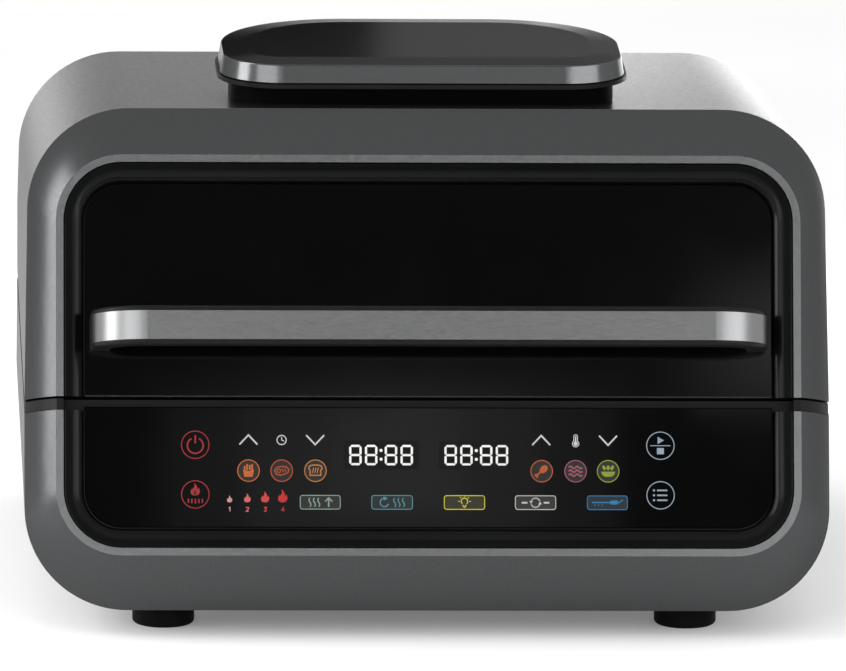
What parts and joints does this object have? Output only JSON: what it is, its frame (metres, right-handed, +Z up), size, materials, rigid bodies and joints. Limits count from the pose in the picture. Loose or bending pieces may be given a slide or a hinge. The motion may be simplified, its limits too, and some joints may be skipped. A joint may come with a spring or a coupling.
{
  "type": "smokeless electric grill",
  "caption": "Countertop electric grill: leaning touch panel base with lift-out pot, rear-hinged lid with dark window, bar handle and raised fan cover, rear grease drawer.",
  "frame": {"origin": "on the floor, in the middle of the overall box", "axes": "+X to the right seen from the front, +Y to the rear, +Z up"},
  "size_m": [0.44, 0.42, 0.2987],
  "materials": {
    "body_paint": "satin metallic dark grey paint on moulded shells",
    "dark_grey_plastic": "satin dark grey",
    "trim_gloss": "gloss black",
    "panel_glass": "black back-printed glass",
    "window_glass": "dark tinted glass",
    "inner_glass": "clear heat-resistant glass",
    "handle_metal": "satin brushed",
    "black_plastic": "fine-textured black",
    "foot_rubber": "matt black",
    "seal_silicone": "soft dark grey",
    "nonstick": "black non-stick coating",
    "steel_sheet": "bright sheet",
    "heater_steel": "oxidised tube",
    "screw_steel": "zinc plated",
    "fan_aluminium": "stamped",
    "cooler_plastic": "black",
    "board_green": "solder mask",
    "display_black": "black",
    "motor_steel": "plated can",
    "lamp_glass": "clear"
  },
  "bodies": {
    "base": {"base_wrap": "body_paint", "base_front_frame": "body_paint", "base_deck": "dark_grey_plastic", "panel_trim": "trim_gloss", "control_panel": "panel_glass", "pcb_carrier": "black_plastic", "base_rear_panel": "black_plastic", "cord_gland": "black_plastic", "drawer_runners": "black_plastic", "rubber_feet": "foot_rubber", "cooking_pot": "nonstick", "grill_plate": "nonstick", "pot_well": "steel_sheet", "heater_clips": "steel_sheet", "pcb_bracket": "steel_sheet", "base_hinge_leaves": "steel_sheet", "hinge_pins": "steel_sheet", "lower_heater": "heater_steel", "base_panel_screws": "screw_steel", "base_hinge_screws": "screw_steel", "foot_screws": "screw_steel", "touch_pcb": "board_green", "power_pcb": "board_green", "display_modules": "display_black", "power_components": "display_black", "thermal_cutout": "display_black"},
    "lid": {"lid_wrap": "body_paint", "lid_front_frame": "body_paint", "window_trim": "trim_gloss", "window_glass": "window_glass", "window_carrier": "black_plastic", "lid_base_ring": "black_plastic", "lid_gasket": "seal_silicone", "lid_liner": "steel_sheet", "inner_glass": "inner_glass", "lid_rear_panel": "black_plastic", "lid_panel_screws": "screw_steel", "lid_hinge_leaves": "steel_sheet", "lid_hinge_screws": "screw_steel", "handle_body": "dark_grey_plastic", "handle_strip": "handle_metal", "handle_screws": "screw_steel", "cover_pedestal": "black_plastic", "cover_lip": "dark_grey_plastic", "top_cover": "body_paint", "cover_screws": "screw_steel", "fan_motor": "motor_steel", "motor_bracket": "steel_sheet", "upper_heater": "heater_steel", "heater_hangers": "steel_sheet", "splatter_shield": "steel_sheet", "shield_clips": "steel_sheet", "lamp_housing": "black_plastic", "lamp_lens": "lamp_glass", "temperature_sensor": "steel_sheet"},
    "fan": {"fan_shaft": "steel_sheet", "convection_fan": "fan_aluminium", "cooling_fan": "cooler_plastic"},
    "drawer": {"grease_drawer": "black_plastic"}
  },
  "joints": [
    {"name": "lid_hinge", "type": "hinge", "parent": "base", "child": "lid", "pos_m": [0, 0.204, 0.12097], "axis": [-1, 0, 0], "range_deg": [0, 85]},
    {"name": "fan_spin", "type": "hinge", "parent": "lid", "child": "fan", "pos_m": [0, -0.02473, 0.25], "axis": [0, 0, 1], "continuous": true},
    {"name": "drawer_slide", "type": "slide", "parent": "base", "child": "drawer", "axis": [0, 1, 0], "range_m": [0, 0.17]}
  ]
}
